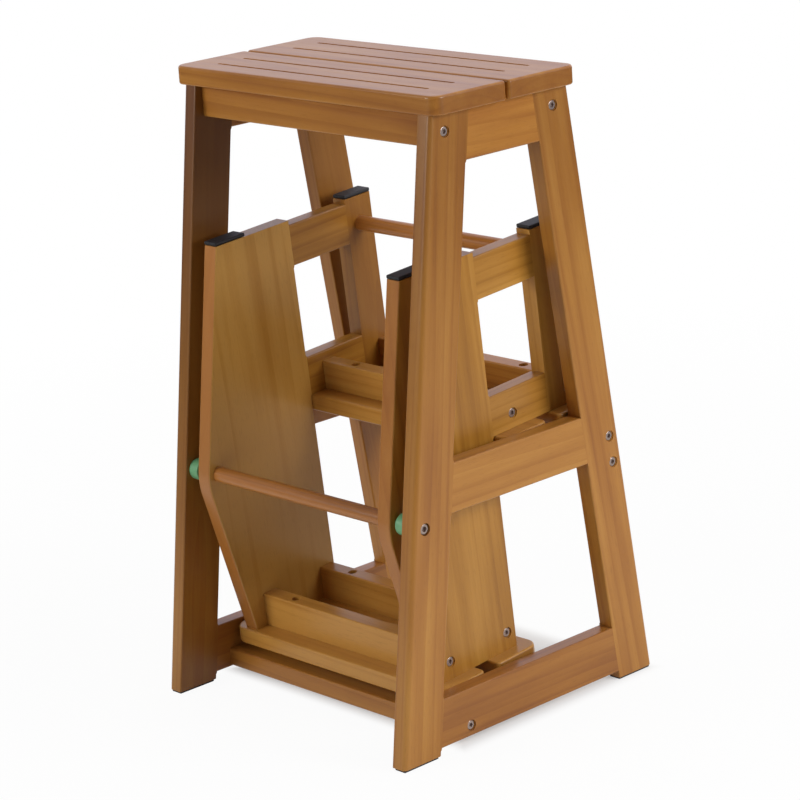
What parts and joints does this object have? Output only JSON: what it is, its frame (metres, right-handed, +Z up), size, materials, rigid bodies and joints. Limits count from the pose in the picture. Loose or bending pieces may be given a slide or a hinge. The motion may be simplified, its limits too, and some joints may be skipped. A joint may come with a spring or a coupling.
{
  "type": "folding step stool chair",
  "caption": "Tall wooden stool with a slotted seat and a folded two-step unit on a low pivot that swings out in front to make a step ladder.",
  "frame": {"origin": "centre of the footprint on the floor, with the step unit folded", "axes": "+Z up, -Y towards the front where the steps swing out, X along the seat's width with +X on the side at the right of the front view"},
  "size_m": [0.378, 0.3594, 0.65],
  "materials": {
    "lacquered_wood": "satin honey-brown lacquer over fine straight grain",
    "dowel_wood": "satin red-brown lacquer on turned dowel",
    "screw_steel": "nickel-plated",
    "pad_rubber": "matt black anti-slip rubber",
    "glide_rubber": "matt dark thin glide",
    "spacer_plastic": "satin pale green"
  },
  "bodies": {
    "stool": {"seat_board_front": "lacquered_wood", "seat_board_rear": "lacquered_wood", "front_leg_left": "lacquered_wood", "rear_leg_left": "lacquered_wood", "top_rail_left": "lacquered_wood", "middle_rail_left": "lacquered_wood", "bottom_rail_left": "lacquered_wood", "front_glide_left": "glide_rubber", "rear_glide_left": "glide_rubber", "pivot_spacer_left": "spacer_plastic", "front_leg_right": "lacquered_wood", "rear_leg_right": "lacquered_wood", "top_rail_right": "lacquered_wood", "middle_rail_right": "lacquered_wood", "bottom_rail_right": "lacquered_wood", "front_glide_right": "glide_rubber", "rear_glide_right": "glide_rubber", "pivot_spacer_right": "spacer_plastic", "front_apron": "lacquered_wood", "rear_apron": "lacquered_wood", "rear_cross_rail": "lacquered_wood", "front_stretcher": "lacquered_wood", "front_apron_screw_left": "screw_steel", "rear_apron_screw_left": "screw_steel", "cross_rail_lower_screw_left": "screw_steel", "cross_rail_upper_screw_left": "screw_steel", "stretcher_screw_left": "screw_steel", "front_apron_screw_right": "screw_steel", "rear_apron_screw_right": "screw_steel", "cross_rail_lower_screw_right": "screw_steel", "cross_rail_upper_screw_right": "screw_steel", "stretcher_screw_right": "screw_steel"},
    "step_unit": {"wide_board_left": "lacquered_wood", "narrow_leg_left": "lacquered_wood", "foot_rail_left": "lacquered_wood", "tread_rail_left": "lacquered_wood", "wide_foot_pad_left": "pad_rubber", "narrow_foot_pad_left": "pad_rubber", "pivot_insert_left": "screw_steel", "pivot_bolt_left": "screw_steel", "wide_board_right": "lacquered_wood", "narrow_leg_right": "lacquered_wood", "foot_rail_right": "lacquered_wood", "tread_rail_right": "lacquered_wood", "wide_foot_pad_right": "pad_rubber", "narrow_foot_pad_right": "pad_rubber", "pivot_insert_right": "screw_steel", "pivot_bolt_right": "screw_steel", "upper_step_board_near": "lacquered_wood", "upper_step_board_far": "lacquered_wood", "upper_step_cleat_near": "lacquered_wood", "upper_step_cleat_far": "lacquered_wood", "lower_step_board_near": "lacquered_wood", "lower_step_board_far": "lacquered_wood", "lower_step_cleat_near": "lacquered_wood", "lower_step_cleat_far": "lacquered_wood", "pivot_dowel": "dowel_wood", "foot_dowel": "dowel_wood"}
  },
  "joints": [
    {"name": "step_unit_pivot", "type": "hinge", "parent": "stool", "child": "step_unit", "pos_m": [0, -0.13252, 0.237], "axis": [1, 0, 0], "range_deg": [0, 175.5]}
  ]
}
